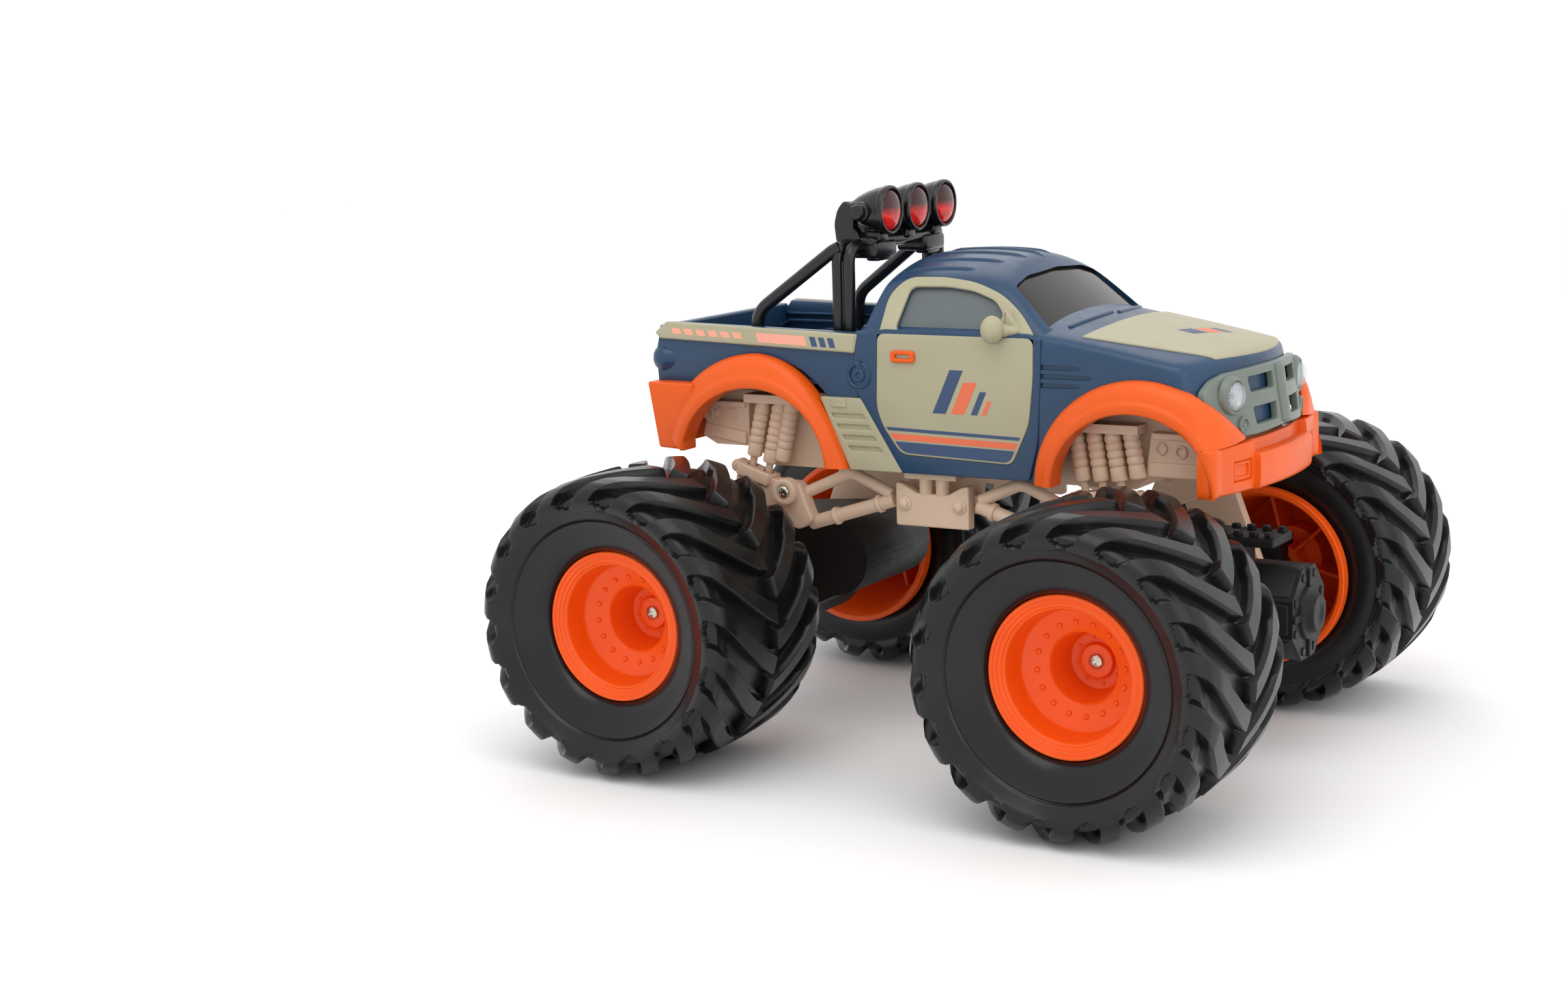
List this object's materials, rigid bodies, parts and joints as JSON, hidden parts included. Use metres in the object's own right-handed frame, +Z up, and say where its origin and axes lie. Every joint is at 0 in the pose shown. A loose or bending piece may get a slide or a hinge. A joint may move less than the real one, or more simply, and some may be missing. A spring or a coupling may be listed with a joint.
{
  "type": "rc monster truck",
  "caption": "Radio-controlled toy monster truck: pickup body on a plastic frame, sprung swinging axles, geared rear drive, front steering, big lugged tyres, roll bar and lamps.",
  "frame": {"origin": "on the ground, midway between the two axles and midway between the wheels", "axes": "+X to the nose, +Y to the truck's left, +Z up"},
  "size_m": [0.273, 0.251, 0.1968],
  "materials": {
    "blue_shell": "satin moulded plastic",
    "cream_plastic": "satin painted plastic",
    "orange_plastic": "satin moulded plastic",
    "beige_plastic": "satin moulded plastic",
    "black_plastic": "semi-gloss moulded plastic",
    "sage_plastic": "satin painted plastic",
    "tyre_rubber": "soft matt vinyl",
    "tinted_glazing": "dark tinted clear plastic",
    "clear_lens": "clear",
    "red_lens": "clear red",
    "nickel_screw": "nickel plated",
    "spring_steel": "plain",
    "motor_can": "plated can",
    "cell_jacket": "printed film, plain",
    "circuit_board": "solder resist",
    "gear_plastic": "nylon",
    "pinion_brass": "plain"
  },
  "bodies": {
    "chassis": {"chassis_tub": "beige_plastic", "pivot_brackets": "beige_plastic", "body_shell": "blue_shell", "front_fender_right": "orange_plastic", "front_fender_left": "orange_plastic", "front_bumper": "orange_plastic", "rear_fender_right": "orange_plastic", "rear_fender_left": "orange_plastic", "rear_bumper": "orange_plastic", "door_panels": "cream_plastic", "bed_rails": "cream_plastic", "vent_panels": "cream_plastic", "hood_panel": "cream_plastic", "glazing": "tinted_glazing", "mirrors": "cream_plastic", "door_handles": "orange_plastic", "grille": "sage_plastic", "headlight_lenses": "clear_lens", "roll_bar": "black_plastic", "lamp_pods": "black_plastic", "lamp_lenses": "red_lens", "shock_bodies": "beige_plastic", "battery_cells": "cell_jacket", "receiver_board": "circuit_board", "rear_springs": "spring_steel", "front_springs": "spring_steel"},
    "battery_hatch": {"battery_door": "beige_plastic"},
    "switch_slider": {"power_switch": "black_plastic"},
    "rear_rods": {"rear_shock_rods": "beige_plastic"},
    "front_rods": {"front_shock_rods": "beige_plastic"},
    "rear_axle": {"rear_case_top": "black_plastic", "rear_case_bottom": "black_plastic", "rear_link_right": "beige_plastic", "rear_link_left": "beige_plastic", "drive_motor": "motor_can", "rear_link_screws": "nickel_screw"},
    "rear_wheels": {"rear_shaft": "spring_steel", "drive_gear": "gear_plastic", "rim_rear_right": "orange_plastic", "rim_rear_left": "orange_plastic", "tyre_rear_right": "tyre_rubber", "tyre_rear_left": "tyre_rubber", "rear_wheel_screws": "nickel_screw"},
    "idler": {"idler_gear": "gear_plastic"},
    "pinion": {"motor_pinion": "pinion_brass"},
    "front_axle": {"front_axle_case": "black_plastic", "front_link_right": "beige_plastic", "front_link_left": "beige_plastic", "steering_servo": "black_plastic", "front_link_screws": "nickel_screw"},
    "servo_horn": {"servo_arm": "black_plastic"},
    "track_rod": {"tie_rod": "black_plastic"},
    "steer_right_hub": {"knuckle_right": "black_plastic", "wheel_screw_right": "nickel_screw"},
    "steer_left_hub": {"knuckle_left": "black_plastic", "wheel_screw_left": "nickel_screw"},
    "wheel_front_right": {"rim_front_right": "orange_plastic", "tyre_front_right": "tyre_rubber"},
    "wheel_front_left": {"rim_front_left": "orange_plastic", "tyre_front_left": "tyre_rubber"}
  },
  "joints": [
    {"name": "rear_axle_swing", "type": "hinge", "parent": "chassis", "child": "rear_axle", "pos_m": [-0.0107, 0, 0.088], "axis": [0, 1, 0], "range_deg": [-4, 2.4], "stiffness_Nm_per_rad": 8, "springref_deg": -0.92},
    {"name": "front_axle_swing", "type": "hinge", "parent": "chassis", "child": "front_axle", "pos_m": [0.0107, 0, 0.088], "axis": [0, -1, 0], "range_deg": [-4, 2.4], "stiffness_Nm_per_rad": 8, "springref_deg": -0.92},
    {"name": "rear_wheel_spin", "type": "hinge", "parent": "rear_axle", "child": "rear_wheels", "pos_m": [-0.084, 0, 0.0525], "axis": [0, 1, 0], "continuous": true},
    {"name": "idler_spin", "type": "hinge", "parent": "rear_axle", "child": "idler", "pos_m": [-0.06093, 0, 0.05912], "axis": [0, 1, 0], "continuous": true},
    {"name": "pinion_spin", "type": "hinge", "parent": "rear_axle", "child": "pinion", "pos_m": [-0.04939, 0, 0.06242], "axis": [0, 1, 0], "continuous": true},
    {"name": "steer_right", "type": "hinge", "parent": "front_axle", "child": "steer_right_hub", "pos_m": [0.084, -0.066, 0.0525], "axis": [0, 0, 1], "range_deg": [-15, 15]},
    {"name": "steer_left", "type": "hinge", "parent": "front_axle", "child": "steer_left_hub", "pos_m": [0.084, 0.066, 0.0525], "axis": [0, 0, 1], "range_deg": [-15, 15]},
    {"name": "tie_rod_slide", "type": "slide", "parent": "front_axle", "child": "track_rod", "axis": [0, 1, 0], "range_m": [-0.0043, 0.0043]},
    {"name": "servo_turn", "type": "hinge", "parent": "front_axle", "child": "servo_horn", "pos_m": [0.054, 0, 0.04], "axis": [0, 0, 1], "range_deg": [-17.2, 17.2]},
    {"name": "front_right_spin", "type": "hinge", "parent": "steer_right_hub", "child": "wheel_front_right", "pos_m": [0.084, -0.091, 0.0525], "axis": [0, 1, 0], "continuous": true},
    {"name": "front_left_spin", "type": "hinge", "parent": "steer_left_hub", "child": "wheel_front_left", "pos_m": [0.084, 0.091, 0.0525], "axis": [0, 1, 0], "continuous": true},
    {"name": "rear_shock_slide", "type": "slide", "parent": "chassis", "child": "rear_rods", "axis": [-0.225, 0, -0.9744], "range_m": [-0.0027, 0.0043], "deforming": ["rear_springs"]},
    {"name": "front_shock_slide", "type": "slide", "parent": "chassis", "child": "front_rods", "axis": [0.1736, 0, -0.9848], "range_m": [-0.0024, 0.0038], "deforming": ["front_springs"]},
    {"name": "battery_door_hinge", "type": "hinge", "parent": "chassis", "child": "battery_hatch", "pos_m": [0.0106, 0, 0.0988], "axis": [0, -1, 0], "range_deg": [0, 85]},
    {"name": "power_switch_slide", "type": "slide", "parent": "chassis", "child": "switch_slider", "axis": [1, 0, 0], "range_m": [0, 0.004]}
  ],
  "couplings": [
    {"joint": "idler_spin", "follows": "rear_wheel_spin", "ratio": -2},
    {"joint": "pinion_spin", "follows": "rear_wheel_spin", "ratio": 4},
    {"joint": "steer_left", "follows": "steer_right", "ratio": 1},
    {"joint": "tie_rod_slide", "follows": "steer_right", "m_per_rad": -0.016},
    {"joint": "servo_turn", "follows": "steer_right", "ratio": -1.1429},
    {"joint": "rear_shock_slide", "follows": "rear_axle_swing", "m_per_rad": -0.0598},
    {"joint": "front_shock_slide", "follows": "front_axle_swing", "m_per_rad": -0.0531}
  ]
}
